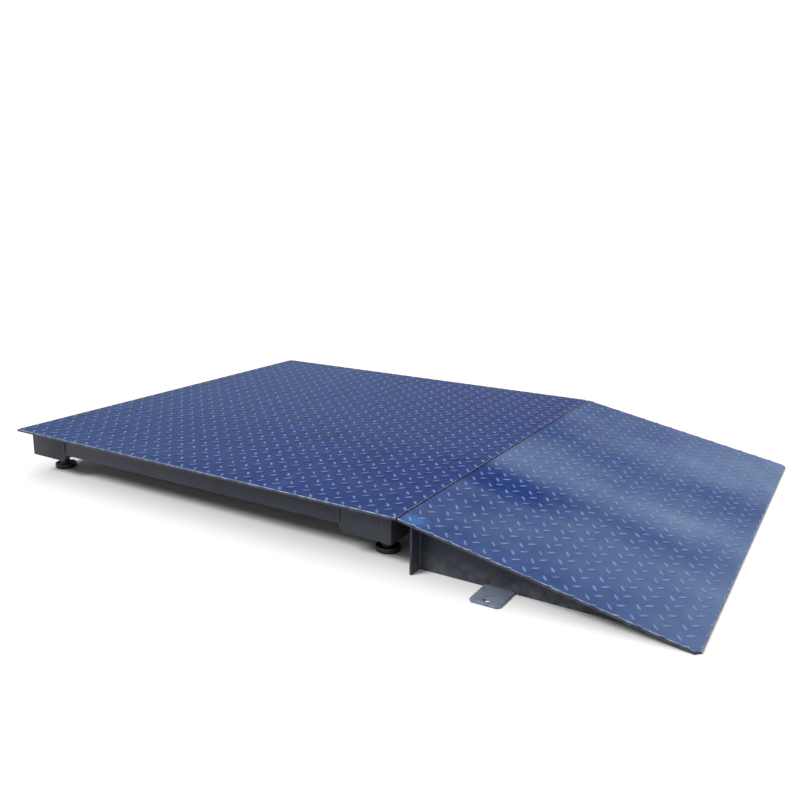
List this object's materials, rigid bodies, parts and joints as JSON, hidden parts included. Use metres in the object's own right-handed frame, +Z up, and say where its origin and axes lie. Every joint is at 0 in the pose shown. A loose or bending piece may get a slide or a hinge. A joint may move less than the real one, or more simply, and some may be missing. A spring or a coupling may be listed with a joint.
{
  "type": "pallet scale",
  "caption": "Low floor scale: a tread-plate deck on a channel frame with shear-beam load cells on levelling feet, and a separate access ramp with floor anchor tabs.",
  "frame": {"origin": "centre of the footprint's box, on the floor", "axes": "+X from the platform down the ramp to its toe, +Y across the deck, +Z up"},
  "size_m": [1.8, 1.262, 0.12],
  "materials": {
    "deck_paint": "semi-gloss blue paint, scuffed on the raised tread",
    "frame_paint": "dark grey satin paint",
    "apron_paint": "near-black satin paint",
    "zinc": "bright zinc plate",
    "cell_steel": "nickel-plated alloy steel",
    "cable_jacket": "black PVC jacket",
    "rubber": "black moulded rubber",
    "foot_casting": "black painted casting",
    "stainless": "brushed stainless sheet",
    "gland_nylon": "black moulded nylon",
    "circuit_board": "green solder mask",
    "terminal_plastic": "green moulded plastic",
    "ramp_paint": "semi-gloss blue-grey paint, scuffed on the raised tread",
    "ramp_frame_paint": "dark blue-grey satin paint",
    "tab_paint": "blue-grey paint, dusty"
  },
  "bodies": {
    "platform": {"deck_plate": "deck_paint", "side_beam_near": "frame_paint", "side_beam_far": "frame_paint", "end_beam_left": "frame_paint", "end_beam_right": "frame_paint", "deck_rib_1": "frame_paint", "deck_rib_2": "frame_paint", "deck_rib_3": "frame_paint", "deck_rib_4": "frame_paint", "deck_rib_5": "frame_paint", "ramp_side_apron": "apron_paint", "load_cell_spacers": "frame_paint", "load_cell_bolts": "zinc", "load_cell_washers": "zinc", "foot_lock_nuts": "zinc", "corner_box_near_left": "frame_paint", "corner_box_near_right": "frame_paint", "corner_box_far_left": "frame_paint", "corner_box_far_right": "frame_paint", "load_cell_near_left": "cell_steel", "load_cell_near_right": "cell_steel", "load_cell_far_left": "cell_steel", "load_cell_far_right": "cell_steel", "cell_cable_near_left": "cable_jacket", "cell_cable_near_right": "cable_jacket", "cell_cable_far_left": "cable_jacket", "cell_cable_far_right": "cable_jacket", "junction_box_body": "stainless", "junction_box_bracket": "stainless", "junction_box_lid": "stainless", "junction_box_gasket": "rubber", "junction_box_screws": "zinc", "cable_glands": "gland_nylon", "output_gland": "gland_nylon", "summing_board": "circuit_board", "terminal_blocks": "terminal_plastic", "cable_clips": "stainless", "cable_grommet": "rubber"},
    "foot_near_left_height": {"foot_ring_near_left": "rubber"},
    "foot_near_left_stud": {"foot_stud_near_left": "zinc"},
    "foot_near_left_pad": {"foot_cup_near_left": "foot_casting", "foot_sole_near_left": "rubber"},
    "foot_near_right_height": {"foot_ring_near_right": "rubber"},
    "foot_near_right_stud": {"foot_stud_near_right": "zinc"},
    "foot_near_right_pad": {"foot_cup_near_right": "foot_casting", "foot_sole_near_right": "rubber"},
    "foot_far_left_height": {"foot_ring_far_left": "rubber"},
    "foot_far_left_stud": {"foot_stud_far_left": "zinc"},
    "foot_far_left_pad": {"foot_cup_far_left": "foot_casting", "foot_sole_far_left": "rubber"},
    "foot_far_right_height": {"foot_ring_far_right": "rubber"},
    "foot_far_right_stud": {"foot_stud_far_right": "zinc"},
    "foot_far_right_pad": {"foot_cup_far_right": "foot_casting", "foot_sole_far_right": "rubber"},
    "ramp": {"ramp_plate": "ramp_paint", "ramp_end_plate": "ramp_frame_paint", "ramp_gusset_near": "ramp_frame_paint", "ramp_gusset_far": "ramp_frame_paint", "ramp_ribs": "ramp_frame_paint", "ramp_anchor_tabs": "tab_paint"}
  },
  "joints": [
    {"name": "foot_near_left_travel", "type": "slide", "parent": "platform", "child": "foot_near_left_height", "axis": [0, 0, 1], "range_m": [-0.00875, 0.00875]},
    {"name": "foot_near_left_turn", "type": "hinge", "parent": "foot_near_left_height", "child": "foot_near_left_stud", "pos_m": [-0.8315, -0.507, 0.016], "axis": [0, 0, 1], "range_deg": [-1801, 1801]},
    {"name": "foot_near_left_tilt", "type": "hinge", "parent": "foot_near_left_height", "child": "foot_near_left_pad", "pos_m": [-0.8315, -0.507, 0.016], "axis": [0, 1, 0], "range_deg": [-6, 6]},
    {"name": "foot_near_right_travel", "type": "slide", "parent": "platform", "child": "foot_near_right_height", "axis": [0, 0, 1], "range_m": [-0.00875, 0.00875]},
    {"name": "foot_near_right_turn", "type": "hinge", "parent": "foot_near_right_height", "child": "foot_near_right_stud", "pos_m": [0.2275, -0.507, 0.016], "axis": [0, 0, 1], "range_deg": [-1801, 1801]},
    {"name": "foot_near_right_tilt", "type": "hinge", "parent": "foot_near_right_height", "child": "foot_near_right_pad", "pos_m": [0.2275, -0.507, 0.016], "axis": [0, 1, 0], "range_deg": [-6, 6]},
    {"name": "foot_far_left_travel", "type": "slide", "parent": "platform", "child": "foot_far_left_height", "axis": [0, 0, 1], "range_m": [-0.00875, 0.00875]},
    {"name": "foot_far_left_turn", "type": "hinge", "parent": "foot_far_left_height", "child": "foot_far_left_stud", "pos_m": [-0.8315, 0.507, 0.016], "axis": [0, 0, 1], "range_deg": [-1801, 1801]},
    {"name": "foot_far_left_tilt", "type": "hinge", "parent": "foot_far_left_height", "child": "foot_far_left_pad", "pos_m": [-0.8315, 0.507, 0.016], "axis": [0, 1, 0], "range_deg": [-6, 6]},
    {"name": "foot_far_right_travel", "type": "slide", "parent": "platform", "child": "foot_far_right_height", "axis": [0, 0, 1], "range_m": [-0.00875, 0.00875]},
    {"name": "foot_far_right_turn", "type": "hinge", "parent": "foot_far_right_height", "child": "foot_far_right_stud", "pos_m": [0.2275, 0.507, 0.016], "axis": [0, 0, 1], "range_deg": [-1801, 1801]},
    {"name": "foot_far_right_tilt", "type": "hinge", "parent": "foot_far_right_height", "child": "foot_far_right_pad", "pos_m": [0.2275, 0.507, 0.016], "axis": [0, 1, 0], "range_deg": [-6, 6]},
    {"name": "ramp_pull_away", "type": "slide", "parent": "platform", "child": "ramp", "axis": [1, 0, 0], "range_m": [0, 0.3]}
  ],
  "couplings": [
    {"joint": "foot_near_left_turn", "follows": "foot_near_left_travel", "rad_per_m": 3590.4},
    {"joint": "foot_near_right_turn", "follows": "foot_near_right_travel", "rad_per_m": 3590.4},
    {"joint": "foot_far_left_turn", "follows": "foot_far_left_travel", "rad_per_m": 3590.4},
    {"joint": "foot_far_right_turn", "follows": "foot_far_right_travel", "rad_per_m": 3590.4}
  ]
}
